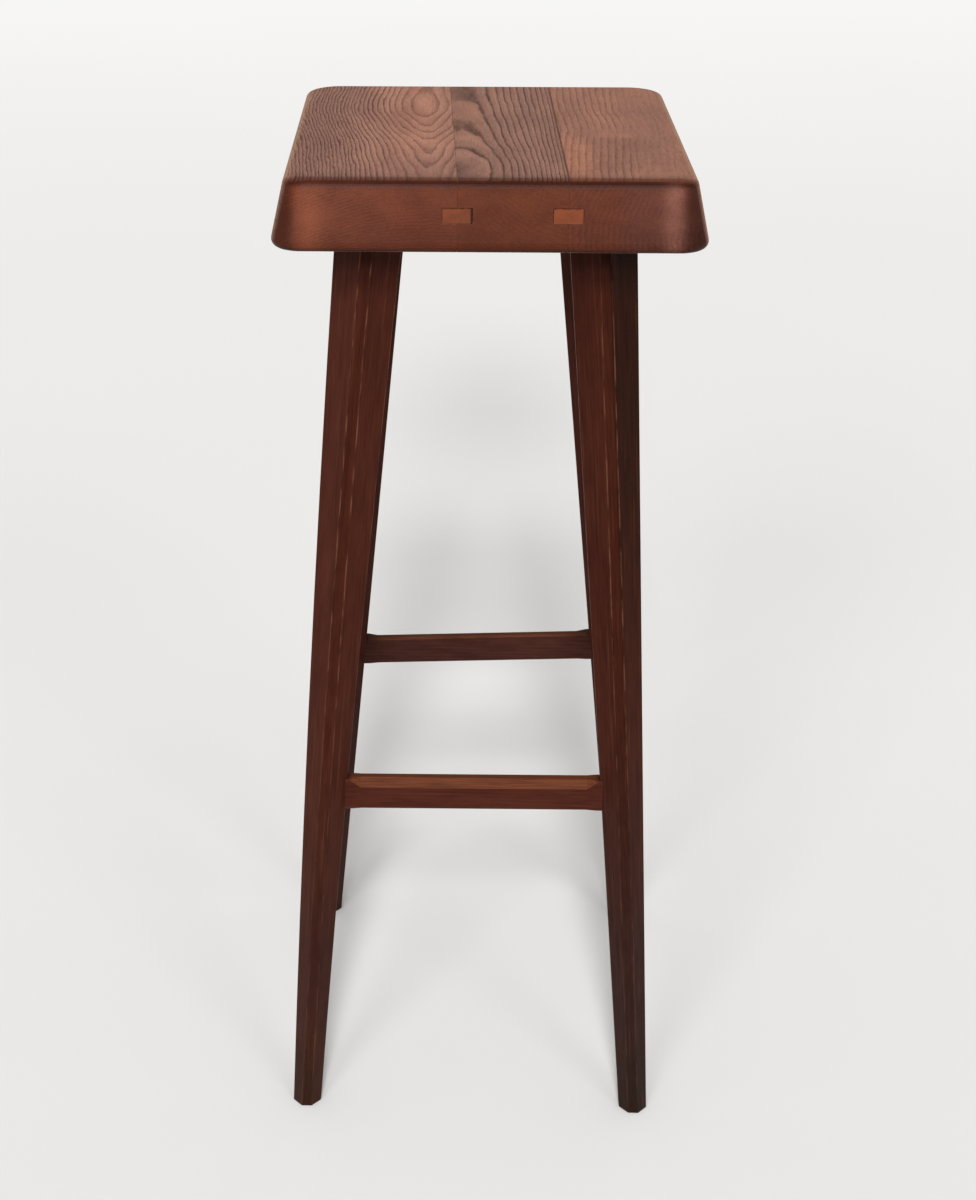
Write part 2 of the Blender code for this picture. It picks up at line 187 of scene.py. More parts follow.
# Dark line along the right seam, which leans a little from front to back
SEAM_FRONT_X = SEAT_HIGH.x + SEAM_GAP / 2
SEAM_BACK_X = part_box("seat_board_right")[0].x - SEAM_GAP / 2
SEAM_LEAN = (SEAM_BACK_X - SEAM_FRONT_X) / (SEAT_HIGH.y - SEAT_LOW.y)
SEAM_MIDDLE = ((SEAM_FRONT_X + SEAM_BACK_X) / 2 - SEAT_MIDDLE_X) * MILLIMETRES
SEAM_LINE = (0.95, 0.45)
SEAM_WAVER = (0.3, 0.6)
SEAM_WAVER_SHARE = 0.3
SEAM_SHARE = 0.6
SEAM_TINT = (0.36, 0.32, 0.30, 1.0)

# Seat's ends, and the edges that they share with the top, with painted highlights and shade on their rounded
# corners and edges
END_FACING = (0.22, 0.62)
END_DRIFT_RINGS = 1.2
END_WAVE_RINGS = 1.3
END_LINE_WIDTH = 0.6
END_LINE_TINT = (0.62, 0.56, 0.54, 1.0)
END_CALM = (0.35, 0.6)
END_CLOUD_MARK = Mark(0.66, 0.34, 0.8, (0.74, 0.70, 0.70, 1.0))
END_SPECK_MARK = Mark(0.42, 0.66, 0.6, (0.68, 0.62, 0.60, 1.0))
END_DROP_MARK = Mark(8.0, 44.0, 1.0, (0.80, 0.78, 0.76, 1.0))
END_MIDDLE_X = -1.0
# Painted shade on the ends' rounded corners
END_CORNER_SHADE_MARK = Mark(117.0, 125.0, 0.8, (0.42, 0.38, 0.36, 1.0))
# Painted shade on what faces down
UNDERSIDE_SHADE_MARK = Mark(-0.35, -0.7, 1.0, (0.45, 0.40, 0.40, 1.0))
# Painted highlights: pale bands beside the ends' rounded corners, where the lamps reflect
PAINTED_CORNER_HIGHLIGHTS = ((-112.0, 9.0, (1.48, 1.60, 1.60, 1.0)), (113.0, 6.5, (1.90, 2.50, 3.10, 1.0)))
# Painted shade along the front edge, where the top rounds over
BROW_WIDE = (-108.0, -122.0)
BROW_WIDE_SHARE = 0.35
BROW_NARROW = (-117.0, -123.5)
BROW_NARROW_SHARE = 0.65
BROW_DROP = (6.0, 2.0)
BROW_SHADE_TINT = (0.40, 0.29, 0.235, 1.0)
# Painted highlight along the top's rounded side and back edges
EDGE_TOP = (0.985, 0.90)
EDGE_SIDE = (0.45, 0.75)
EDGE_FRONT = (0.25, 0.05)
RIM_HIGHLIGHT_SHARE = 0.6
RIM_HIGHLIGHT_COLOUR = (0.42, 0.240, 0.140, 1.0)

# Finish: sheen, and how deep the grain stands open
WOOD_IOR = 1.45
FIBRE_ROUGHNESS = 0.12
SPECK_ROUGHNESS = 0.1
SEAT_REFLECTION = 0.12
SEAT_ROUGHNESS = 0.50
SEAT_MARK_ROUGHNESS = 0.10
SEAT_END_POLISH = 0.06
SEAT_RELIEF = 0.0004
SEAT_MARK_DEPTH = 0.9
SEAT_FIBRE_DEPTH = 0.2
SPLINE_ROUGHNESS = 0.5
SPLINE_RELIEF = 0.0001
SPLINE_GAP_DEPTH = 0.8
GLUE_ROUGHNESS = 0.55
GLUE_RELIEF = 0.00004
STICK_REFLECTION = 0.04
STICK_ROUGHNESS = 0.46
STICK_RELIEF = 0.00012
STICK_PORE_DEPTH = 0.4
STICK_LINE_DEPTH = 0.3
STICK_FIBRE_DEPTH = 0.3

# Splines: the gap beside each, its rim, and its frayed upper edge, in millimetres from its faces
SPLINE_SPECK_MARK = Mark(0.45, 0.7, 0.5, (0.74, 0.66, 0.62, 1.0))
SPLINE_GAP = (1.3, 0.7)
SPLINE_GAP_TINT = (0.24, 0.22, 0.24, 1.0)
SPLINE_RIM = (0.9, 0.4)
SPLINE_RIM_SHARE = 0.5
SPLINE_RIM_TINT = (0.50, 0.45, 0.45, 1.0)
SPLINE_BRINK = (0.8, 0.3)
SPLINE_FRAYED = (0.35, 0.6)
SPLINE_BRINK_SHARE = 0.7
SPLINE_BRINK_TINT = (0.42, 0.38, 0.40, 1.0)
SPLINE_WOODS = {
    "seat_spline_left": dict(
        seed=21.0, gap_side=1, pale=(0.160, 0.0405, 0.0156, 1.0), deep=(0.125, 0.0313, 0.0116, 1.0)),
    "seat_spline_right": dict(
        seed=24.0, gap_side=-1, pale=(0.188, 0.0437, 0.0156, 1.0), deep=(0.150, 0.0356, 0.0123, 1.0)),
}

# Glue: dark on top, paler at the left seam, and as brown as the wood at the ends
GLUE_TOP_COLOURS = ((0.080, 0.032, 0.021, 1.0), (0.150, 0.062, 0.040, 1.0))
GLUE_END_COLOURS = ((0.078, 0.0170, 0.0070, 1.0), (0.120, 0.0270, 0.0110, 1.0))
GLUE_LEFT_MARK = Mark(10.0, -10.0, 1.0, (1.8, 1.8, 1.8, 1.0))
GLUE_END_FACING = (0.30, 0.70)

# Grain of the legs and rungs
STICK_RING_WIDTH = 3.4
STICK_RING_TILT = 0.4
STICK_DRIFT = 24.0
STICK_LINE_WIDTH = 0.45
STICK_LINE_SHARE = 0.35
STICK_LINE_TINT = (0.72, 0.66, 0.64, 1.0)
STICK_CLOUD_MARK = Mark(0.65, 0.35, 0.7, (0.80, 0.80, 0.86, 1.0))
STICK_BLOTCH_MARK = Mark(0.60, 0.36, 0.7, (0.78, 0.74, 0.72, 1.0))
STICK_FIBRE_MARK = Mark(0.6, 0.35, 0.5, (0.60, 0.55, 0.53, 1.0))
STICK_STREAKS = (0.56, 0.76)
STICK_STREAK_SHARE = 0.28
STICK_PORES = (0.52, 0.68)
STICK_PORE_SHARE = 0.45
STICK_PORE_TINT = (0.62, 0.56, 0.54, 1.0)

# Legs: stain by height, wear and painted highlight along the arrises, painted shade on the faces turned to
# the front and under the seat, and a darker face on one leg
LEG_SEED = 31.0
SEED_STEP = 5.0
LEG_STAIN_RISE = (60.0, 420.0)
LEG_FOOT_MARK = Mark(85.0, 15.0, 1.0, (0.84, 0.98, 0.86, 1.0))
# Painted shade on the leg faces turned to the front
LEG_FRONT_SHADE_MARK = Mark(0.84, 0.94, 1.0, (0.78, 0.76, 0.71, 1.0))
# Painted shadow of the seat on the tops of the legs
LEG_TOP_SHADE_MARK = Mark(655.0, 710.0, 1.0, (0.62, 0.62, 0.68, 1.0))
LEG_DARK_FACE = (-1.6, -0.4)
LEG_DARK_RISE = (250.0, 600.0)
LEG_DARK_TINT = (0.47, 0.53, 0.46, 1.0)
ARRIS_BAND = (-0.4, 0.45, 0.2)
ARRIS_CHIPS = (0.40, 0.64)
ARRIS_RISE = (250.0, 480.0)
ARRIS_LEAST = 0.3
ARRIS_SHARE = 0.42
# Colour of the arris lines: partly wear, partly painted highlight
ARRIS_WEAR_AND_HIGHLIGHT_COLOUR = (0.215, 0.086, 0.050, 1.0)
LEG_COLOURS = dict(
    low=(0.0525, 0.0185, 0.0128, 1.0), high=(0.0705, 0.0176, 0.0098, 1.0), worn=(0.130, 0.043, 0.020, 1.0),
    dark_face=False)
DARK_LEG_COLOURS = dict(
    low=(0.0365, 0.0166, 0.0138, 1.0), high=(0.0600, 0.0145, 0.0076, 1.0), worn=(0.130, 0.043, 0.020, 1.0),
    dark_face=True)
DARK_LEG = "leg_front_right"

# Rungs: darker ends, and a worn top that stops short of them
RUNG_SEED = 61.0
RUNG_STAIN_RISE = (103.0, 99.0)
RUNG_SOUND_END = 23.0
RUNG_WEAR_FADE = (3.0, -2.0)
RUNG_WEAR_FACING = (0.10, 0.45)
RUNG_WEAR_FIBRES = (0.30, 0.62)
RUNG_WEAR_LEAST = 0.25
RUNG_COLOURS = dict(
    low=(0.047, 0.0147, 0.0098, 1.0), high=(0.070, 0.0182, 0.0106, 1.0), worn=(0.122, 0.0365, 0.0150, 1.0))
REAR_RUNG_COLOURS = dict(
    low=(0.040, 0.0147, 0.0110, 1.0), high=(0.0580, 0.0194, 0.0139, 1.0), worn=(0.094, 0.0306, 0.0140, 1.0))
REAR_RUNG = "rung_rear"


class Field:
    """A number that varies over a surface: one output socket of a node tree."""

    def __init__(self, tree, socket):
        self.tree = tree
        self.socket = socket

    def __add__(self, other):
        return compute("ADD", self, other)

    def __sub__(self, other):
        return compute("SUBTRACT", self, other)

    def __rsub__(self, other):
        return compute("SUBTRACT", other, self)

    def __mul__(self, other):
        return compute("MULTIPLY", self, other)

    def __truediv__(self, other):
        return compute("DIVIDE", self, other)

    def __neg__(self):
        return compute("MULTIPLY", self, -1.0)


def plug(tree, value, socket):
    """Feed a socket with a field, another socket or a plain value."""
    if isinstance(value, Field):
        tree.links.new(value.socket, socket)
    elif isinstance(value, bpy.types.NodeSocket):
        tree.links.new(value, socket)
    else:
        socket.default_value = value


def tree_of(*values):
    """The node tree that the fields among the values belong to."""
    return next(value.tree for value in values if isinstance(value, Field))


def compute(operation, *values):
    """One math node over fields and numbers."""
    tree = tree_of(*values)
    node = tree.nodes.new("ShaderNodeMath")
    node.operation = operation
    for value, socket in zip(values, node.inputs):
        plug(tree, value, socket)
    return Field(tree, node.outputs[0])


def absolute(value):
    """How far a value lies from zero."""
    return compute("ABSOLUTE", value)


def hill(value, width):
    """1 at zero, falling smoothly away over the width on each side."""
    share = value / width
    return compute("EXPONENT", -(share * share))


def ramp(value, start, end):
    """0 up to the start and 1 from the end, with a smooth change between."""
    node = value.tree.nodes.new("ShaderNodeMapRange")
    node.interpolation_type = "SMOOTHSTEP"
    low, high, first, last = (start, end, 0.0, 1.0) if start < end else (end, start, 1.0, 0.0)
    plug(value.tree, value, node.inputs["Value"])
    node.inputs["From Min"].default_value = low
    node.inputs["From Max"].default_value = high
    node.inputs["To Min"].default_value = first
    node.inputs["To Max"].default_value = last
    return Field(value.tree, node.outputs["Result"])


def patch(value, start, end, softness):
    """1 between two bounds, falling smoothly to 0 outside them."""
    return ramp(value, start - softness, start + softness) * ramp(value, end + softness, end - softness)


def at_least(share, least):
    """Squeeze a share into the range from the least value to 1."""
    return share * (1.0 - least) + least


def curve(value, points):
    """A smooth curve through points, given as pairs of a value and a height."""
    starts, heights = zip(*points)
    first, reach = starts[0], starts[-1] - starts[0]
    low, rise = min(heights), max(heights) - min(heights)
    node = value.tree.nodes.new("ShaderNodeFloatCurve")
    node.mapping.extend = "HORIZONTAL"
    handles = node.mapping.curves[0].points
    shares = [((start - first) / reach, (height - low) / rise) for start, height in points]
    handles[0].location = shares[0]
    handles[1].location = shares[-1]
    for share in shares[1:-1]:
        handles.new(*share)
    node.mapping.update()
    plug(value.tree, (value - first) / reach, node.inputs["Value"])
    return Field(value.tree, node.outputs[0]) * rise + low


def noise(place, kind, seed):
    """One smooth noise from about 0 to 1, stretched to its lengths."""
    tree = tree_of(*place)
    joined = tree.nodes.new("ShaderNodeCombineXYZ")
    for value, length, socket in zip(place, kind.lengths, joined.inputs):
        plug(tree, value / length, socket)
    node = tree.nodes.new("ShaderNodeTexNoise")
    node.noise_dimensions = "4D"
    node.inputs["W"].default_value = seed + kind.step
    node.inputs["Scale"].default_value = 1.0
    node.inputs["Detail"].default_value = kind.detail
    node.inputs["Roughness"].default_value = kind.roughness
    tree.links.new(joined.outputs[0], node.inputs["Vector"])
    return Field(tree, node.outputs[0])


def grain_of(place, kinds, seed):
    """All noises of a wood, each under its own name."""
    return SimpleNamespace(**{name: noise(place, kind, seed) for name, kind in kinds.items()})


def mix(share, first, second, blend_type):
    """One colour node between two colours or colour sockets."""
    node = share.tree.nodes.new("ShaderNodeMix")
    node.data_type = "RGBA"
    node.blend_type = blend_type
    node.clamp_factor = True
    for value, socket in zip((share, first, second), MIX_INPUTS):
        plug(share.tree, value, node.inputs[socket])
    return node.outputs[MIX_RESULT]


def blend(share, first, second):
    """The first colour turned into the second, as far as the share says."""
    return mix(share, first, second, "MIX")


def tint(share, colour, factor):
    """A colour times a factor colour, as far as the share says."""
    return mix(share, colour, factor, "MULTIPLY")


def marked(colour, field, mark):
    """A colour tinted by a mark over a field."""
    return tint(ramp(field, mark.start, mark.end) * mark.share, colour, mark.factor)


def apart(tree, socket):
    """The three parts of a vector socket as fields."""
    node = tree.nodes.new("ShaderNodeSeparateXYZ")
    tree.links.new(socket, node.inputs[0])
    return [Field(tree, output) for output in node.outputs]


def object_place(tree, origin=Vector((0, 0, 0))):
    """Object coordinates in millimetres, measured from an origin."""
    coordinates = tree.nodes.new("ShaderNodeTexCoord")
    fields = apart(tree, coordinates.outputs["Object"])
    return [(field - offset) * MILLIMETRES for field, offset in zip(fields, origin)]


def surface_normal(tree):
    """The three parts of the surface's own direction."""
    return apart(tree, tree.nodes.new("ShaderNodeNewGeometry").outputs["Normal"])


def along(place, axis):
    """How far a place lies along a direction."""
    return place[0] * axis.x + place[1] * axis.y + place[2] * axis.z


def new_material(name):
    """An empty material with one Principled shader."""
    material = bpy.data.materials.new(name)
    material.use_nodes = True
    tree = material.node_tree
    return material, tree, tree.nodes["Principled BSDF"]


def finish_wood(tree, shader, colour, roughness, height, depth, reflection):
    """Set colour, sheen and relief on a wood's shader."""
    tree.links.new(colour, shader.inputs["Base Color"])
    plug(tree, roughness, shader.inputs["Roughness"])
    shader.inputs["IOR"].default_value = WOOD_IOR
    shader.inputs["Specular IOR Level"].default_value = reflection
    bump = tree.nodes.new("ShaderNodeBump")
    bump.inputs["Strength"].default_value = 1.0
    bump.inputs["Distance"].default_value = depth
    plug(tree, height, bump.inputs["Height"])
    tree.links.new(bump.outputs["Normal"], shader.inputs["Normal"])


def ring_line(count, width):
    """Dark along the rings: sharp on one side and fading out on the other."""
    turn = compute("FRACT", count)
    return ramp(turn, width, LINE_CORE) + ramp(turn, *LINE_ONSET)


# Growth rings of the three boards, seen from above. Each gives the number of
# rings counted at a place; a dark line runs along every whole number, sharp on
# its lower side. x runs across the seat and y towards the back.

LEFT_AXIS = ((-125, -38.0), (-54, -39.0), (6, -40.5), (60, -42.5), (120, -41.5))
LEFT_FLANK = (
    (0, 0.9), (3, 0.85), (7, 0.4), (9.7, 0.0), (16.5, -1.0), (21.5, -2.0), (25.5, -3.0),
    (29.5, -4.0), (33.5, -5.0), (40.5, -7.0), (46.5, -9.0), (60, -14.2), (90, -26.7))
LEFT_RISE = (
    (-125, -6.5), (-95, -5.95), (-88, -5.75), (-70, -5.15), (-54, -4.85), (-40, -4.4),
    (-30, -4.0), (-11, -2.95), (6, -1.95), (20, -1.45), (35, -0.85), (50, -0.2),
    (62, 0.0), (80, 0.0), (100, -0.35), (120, -0.6))
LEFT_EYE = SimpleNamespace(width=6.0, rise=(48.0, 66.0), rings=0.22)

CENTRE_FLANK = (
    (-26, -0.05), (-11, 0.0), (-8, 0.1), (-4.5, 0.25), (-2.2, 0.45), (1.8, 0.93), (3.5, 1.1),
    (7, 1.6), (11.5, 2.4), (16, 3.3), (19, 4.0), (24, 5.0), (29, 6.0), (33.5, 7.0),
    (37.5, 8.0), (44.5, 10.0), (48, 11.0))
CENTRE_RISE = (
    (-125, -2.72), (-90, -2.7), (-80, -2.55), (-70, -2.25), (-60, -2.05), (-55, -1.98),
    (-40, -1.5), (-20, -1.16), (-5, -1.0), (20, -0.77), (40, -0.45), (60, -0.25),
    (70, -0.16), (77, 0.0), (85, 0.10), (125, 0.15))
CENTRE_ARCH_FADE = (54.0, 14.0)

RIGHT_LEAN = (
    (-125, -8.0), (-90, -6.0), (-25, -1.0), (-10, 0.6), (4, 1.6), (30, 0.8), (60, -1.0), (120, 0.5))
RIGHT_FIRST_RING = 61.5
RIGHT_RING_WIDTH = 4.7


def left_rings(x, y):
    """Flat-sawn board: an oval at the back with arches opening towards it."""
    from_axis = absolute(x - curve(y, LEFT_AXIS))
    eye = hill(from_axis, LEFT_EYE.width) * ramp(y, *LEFT_EYE.rise)
    return curve(from_axis, LEFT_FLANK) + curve(y, LEFT_RISE) - eye * LEFT_EYE.rings


def centre_rings(x, y):
    """A few bold rings that sweep to the right towards the front."""
    return curve(x, CENTRE_FLANK) + curve(y, CENTRE_RISE) * ramp(x, *CENTRE_ARCH_FADE)


def right_rings(x, y):
    """Faint rings, nearly straight, that lean the other way near the front."""
    return (x - RIGHT_FIRST_RING - curve(y, RIGHT_LEAN)) / RIGHT_RING_WIDTH


# Growth rings on the boards' ends: arcs of large circles, seen from the front.
# The drop is measured down from the seat's top.

LEFT_END = SimpleNamespace(middle=-38.0, bend=0.0024, width=2.0)
CENTRE_END = SimpleNamespace(slope=1.3, bend=0.008, width=4.0)
RIGHT_END = SimpleNamespace(middle=34.0, bend=0.012, width=3.6)


def left_end_rings(x, drop):
    """Flat arcs that bow up in the middle of the board."""
    aside = x - LEFT_END.middle
    return (drop - aside * aside * LEFT_END.bend) / LEFT_END.width


def centre_end_rings(x, drop):
    """Steep rings that lean to the right going down."""
    return (x - drop * CENTRE_END.slope - x * x * CENTRE_END.bend) / CENTRE_END.width


def right_end_rings(x, drop):
    """Upright arcs that bow sideways."""
    below = drop - RIGHT_END.middle
    return (x - below * below * RIGHT_END.bend) / RIGHT_END.width


# Each board's tones give how far a place is lighter, greyer and more boldly
# lined than the rest of its top.

LEFT_TONES = SimpleNamespace(
    light_x=-46.0, light_width=26.0, light_rise=(-110.0, -30.0),
    dull_rise=(-70.0, -110.0), dull_share=0.8,
    bold_x=-42.0, bold_rise=(14.0, 36.0), bold_least=0.58)
CENTRE_TONES = SimpleNamespace(
    bay_across=(-22.0, -3.0, 6.0), bay_along=(22.0, 78.0, 14.0),
    spot_x=-12.0, spot_width=12.0, spot_y=-22.0, spot_length=16.0, spot_share=0.5,
    dull_across=(-26.0, -8.0, 3.0), dull_back=(88.0, 140.0, 5.0), dull_back_share=0.3,
    dull_front=(-66.0, -96.0), dull_front_share=0.6,
    faint_across=(-8.0, -19.0), faint_along=(18.0, 38.0), faint_share=0.58)
RIGHT_TONES = SimpleNamespace(
    seam_across=(40.0, 66.0, 7.0), seam_along=(10.0, -60.0),
    bar_across=(72.0, 98.0, 4.0), bar_y=-17.0, bar_length=5.0, bar_share=0.8,
    dull_across=(68.0, 97.0, 7.0), dull_along=(-104.0, -26.0, 9.0), dull_share=0.5,
    rim_across=(90.0, 98.0), rim_share=0.25,
    bold_across=(100.0, 88.0), bold_least=0.30,
    faint_along=(-20.0, 0.0, 7.0), faint_across=(60.0, 70.0), faint_share=0.85)


def left_tones(x, y):
    """Light down the middle, greyer and more lined towards the outer side."""
    tones = LEFT_TONES
    light = hill(x - tones.light_x, tones.light_width) * ramp(y, *tones.light_rise)
    dull = ramp(x, *tones.dull_rise) * tones.dull_share
    bold = at_least(ramp(absolute(x - tones.bold_x), *tones.bold_rise), tones.bold_least)
    return light, dull, bold


def centre_tones(x, y):
    """Light inside the arches, and greyer along the left seam at both ends."""
    tones = CENTRE_TONES
    bay = patch(x, *tones.bay_across) * patch(y, *tones.bay_along)
    spot = hill(y - tones.spot_y, tones.spot_length) * hill(x - tones.spot_x, tones.spot_width)
    back = patch(y, *tones.dull_back) * tones.dull_back_share
    front = ramp(y, *tones.dull_front) * tones.dull_front_share
    dull = patch(x, *tones.dull_across) * (back + front)
    faint = ramp(x, *tones.faint_across) * ramp(y, *tones.faint_along)
    return bay + spot * tones.spot_share, dull, 1.0 - faint * tones.faint_share


def right_tones(x, y):
    """Light along the seam, with a pale bar and a grey patch in front of it."""
    tones = RIGHT_TONES
    seam = patch(x, *tones.seam_across) * ramp(y, *tones.seam_along)
    bar = patch(x, *tones.bar_across) * hill(y - tones.bar_y, tones.bar_length)
    grey = patch(x, *tones.dull_across) * patch(y, *tones.dull_along)
    dull = grey * tones.dull_share + ramp(x, *tones.rim_across) * tones.rim_share
    faint = patch(y, *tones.faint_along) * ramp(x, *tones.faint_across)
    bold = at_least(ramp(x, *tones.bold_across), tones.bold_least) * (1.0 - faint * tones.faint_share)
    return seam + bar * tones.bar_share, dull, bold


# The wavy side of a board is where its ripples grow or shrink, by so many rings.

SEAT_WOODS = {
    "seat_board_left": SimpleNamespace(
        rings=left_rings, end_rings=left_end_rings, tones=left_tones, seed=11.0,
        line_share=1.0, line_width=0.42, end_line_share=0.50,
        wavy_side=(-70.0, -95.0), wavy_rings=1.2,
        pale=(0.400, 0.196, 0.138, 1.0), deep=(0.312, 0.146, 0.103, 1.0), ends=(0.134, 0.0340, 0.0154, 1.0),
        end_mark=Mark(-90.0, -40.0, 1.0, (0.89, 0.83, 0.76, 1.0))),
    "seat_board_centre": SimpleNamespace(
        rings=centre_rings, end_rings=centre_end_rings, tones=centre_tones, seed=12.0,
        line_share=1.0, line_width=0.32, end_line_share=0.32,
        wavy_side=(0.0, -14.0), wavy_rings=-0.336,
        pale=(0.335, 0.163, 0.112, 1.0), deep=(0.268, 0.132, 0.094, 1.0), ends=(0.111, 0.0256, 0.0090, 1.0),
        end_mark=None),
    "seat_board_right": SimpleNamespace(
        rings=right_rings, end_rings=right_end_rings, tones=right_tones, seed=13.0,
        line_share=0.50, line_width=0.40, end_line_share=0.48,
        wavy_side=(72.0, 100.0), wavy_rings=0.72,
        pale=(0.390, 0.176, 0.113, 1.0), deep=(0.318, 0.144, 0.097, 1.0), ends=(0.102, 0.0288, 0.0161, 1.0),
        end_mark=Mark(92.0, 72.0, 1.0, (1.07, 0.91, 0.68, 1.0))),
}


def seat_top_colour(board, grain, place, face):
    """Colour of a board's long grain, and how strongly each place is marked by it."""
    x, y, z = place
    drift = (grain.drift - NOISE_MIDDLE) * DRIFT_RINGS
    ripple = (grain.ripple - NOISE_MIDDLE) * (ramp(x, *board.wavy_side) * board.wavy_rings + RIPPLE_RINGS)
    count = board.rings(x, y) + drift + ripple - z * DEPTH_RINGS
    light, dull, bold = board.tones(x, y)
    bold = bold * (1.0 - ramp(absolute(face[0]), *SIDE_FACING) * SIDE_FADE)

    dashes = ramp(grain.pores, *OPEN_PORES)
    strength = at_least(ramp(grain.waver, *LINE_WAVER), LINE_WAVER_LEAST) * at_least(dashes, LINE_DASH_LEAST)
    marks = ring_line(count, board.line_width) * bold * strength * board.line_share
    marks = marks + dashes * ramp(grain.fibres, *LONG_PORES) * PORE_SHARE
    ridge = patch(compute("FRACT", count), *RIDGE_TURN) * bold

    colour = blend(ramp(grain.clouds, *CLOUDY), board.deep, board.pale)
    colour = tint(light, colour, LIGHT_TINT)
    colour = tint(dull, colour, DULL_TINT)
    colour = marked(colour, grain.fibres, FIBRE_MARK)
    colour = marked(colour, grain.grit, GRIT_MARK)
    colour = tint(ridge * board.line_share, colour, RIDGE_TINT)
    colour = tint(marks, colour, STAIN_TINT)
    from_seam = absolute(x - y * SEAM_LEAN - SEAM_MIDDLE)
    seam = ramp(from_seam, *SEAM_LINE) * (ramp(grain.waver, *SEAM_WAVER) * SEAM_WAVER_SHARE + SEAM_SHARE)
    return tint(seam, colour, SEAM_TINT), marks


def seat_end_colour(board, grain, x, drop, face):
    """Faint arcs and cloudy stain on a board's end, with painted highlights beside the rounded corners and
    painted shade on the corners and on what faces down.
    """
    drift = (grain.drift - NOISE_MIDDLE) * END_DRIFT_RINGS
    wave = (grain.end_wave - NOISE_MIDDLE) * END_WAVE_RINGS
    lines = ring_line(board.end_rings(x, drop) + drift + wave, END_LINE_WIDTH) * ramp(grain.calm, *END_CALM)
    colour = marked(board.ends, grain.end_clouds, END_CLOUD_MARK)
    colour = tint(lines * board.end_line_share, colour, END_LINE_TINT)
    colour = marked(colour, grain.end_specks, END_SPECK_MARK)
    if board.end_mark:
        colour = marked(colour, x, board.end_mark)
    # Painted highlights beside the rounded corners
    for middle, width, factor in PAINTED_CORNER_HIGHLIGHTS:
        colour = tint(hill(x - middle, width), colour, factor)
    colour = marked(colour, drop, END_DROP_MARK)
    # Painted shade on the rounded corners
    colour = marked(colour, absolute(x - END_MIDDLE_X), END_CORNER_SHADE_MARK)
    # Painted shade on what faces down
    return marked(colour, face[2], UNDERSIDE_SHADE_MARK)


def seat_wood(name, board):
    """Stained board: open long grain on top, smooth darker grain at the ends."""
    material, tree, shader = new_material(f"{name}_wood")
    place = object_place(tree, SEAT_ORIGIN)
    x, y, z = place
    drop = -z
    face = surface_normal(tree)
    grain = grain_of(place, SEAT_NOISES, board.seed)
    end_share = ramp(absolute(face[1]), *END_FACING)
    top_colour, marks = seat_top_colour(board, grain, place, face)
    colour = blend(end_share, top_colour, seat_end_colour(board, grain, x, drop, face))

    # The front edge gets painted shade where the top rounds over, and the other top edges get a painted
    # highlight
    brow_shade = ramp(y, *BROW_WIDE) * BROW_WIDE_SHARE + ramp(y, *BROW_NARROW) * BROW_NARROW_SHARE
    colour = tint(brow_shade * ramp(drop, *BROW_DROP), colour, BROW_SHADE_TINT)
    # Painted highlight on the rounded top edges that don't face the front
    wear_and_highlight = ramp(face[2], *EDGE_TOP) * ramp(face[2], *EDGE_SIDE) * ramp(-face[1], *EDGE_FRONT)
    colour = blend(wear_and_highlight * RIM_HIGHLIGHT_SHARE, colour, RIM_HIGHLIGHT_COLOUR)

    relief = 1.0 - marks * SEAT_MARK_DEPTH * (1.0 - end_share) - grain.fibres * SEAT_FIBRE_DEPTH
    roughness = (grain.fibres - NOISE_MIDDLE) * FIBRE_ROUGHNESS + SEAT_ROUGHNESS
    roughness = roughness + marks * SEAT_MARK_ROUGHNESS - end_share * SEAT_END_POLISH
    finish_wood(tree, shader, colour, roughness, relief, SEAT_RELIEF, SEAT_REFLECTION)
    return material


def spline_wood(name, seed, gap_side, pale, deep):
    """The orange-brown ends of the keys between the boards, dark where a gap is left."""
    material, tree, shader = new_material(f"{name}_wood")
    low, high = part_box(name)
    half = (high - low) / 2 * MILLIMETRES
    place = object_place(tree, (low + high) / 2)
    grain = grain_of(place, SPLINE_NOISES, seed)
    from_gap = half.x - place[0] * gap_side
    from_side = half.x - absolute(place[0])
    from_top = half.z - place[2]
    colour = blend(ramp(grain.clouds, *CLOUDY), deep, pale)
    colour = marked(colour, grain.specks, SPLINE_SPECK_MARK)
    gap = ramp(from_gap, *SPLINE_GAP)
    rim = ramp(from_side, *SPLINE_RIM) * SPLINE_RIM_SHARE
    brink = ramp(from_top, *SPLINE_BRINK) * ramp(grain.frayed, *SPLINE_FRAYED) * SPLINE_BRINK_SHARE
    colour = tint(gap, colour, SPLINE_GAP_TINT)
    colour = tint(rim, colour, SPLINE_RIM_TINT)
    colour = tint(brink, colour, SPLINE_BRINK_TINT)
    roughness = (grain.specks - NOISE_MIDDLE) * SPECK_ROUGHNESS + SPLINE_ROUGHNESS
    relief = grain.specks - gap * SPLINE_GAP_DEPTH
    finish_wood(tree, shader, colour, roughness, relief, SPLINE_RELIEF, SEAT_REFLECTION)
    return material


def glue_wood():
    """Stained glue and dust in the seams: dark on top and blending in at the ends."""
    material, tree, shader = new_material("seam_glue")
    place = object_place(tree, SEAT_ORIGIN)
    specks = grain_of(place, GLUE_NOISES, GLUE_SEED).specks
    top_colour = marked(blend(specks, *GLUE_TOP_COLOURS), place[0], GLUE_LEFT_MARK)
    end_share = ramp(absolute(surface_normal(tree)[1]), *GLUE_END_FACING)
    colour = blend(end_share, top_colour, blend(specks, *GLUE_END_COLOURS))
    roughness = (specks - NOISE_MIDDLE) * SPECK_ROUGHNESS + GLUE_ROUGHNESS
    finish_wood(tree, shader, colour, roughness, specks, GLUE_RELIEF, SEAT_REFLECTION)
    return material


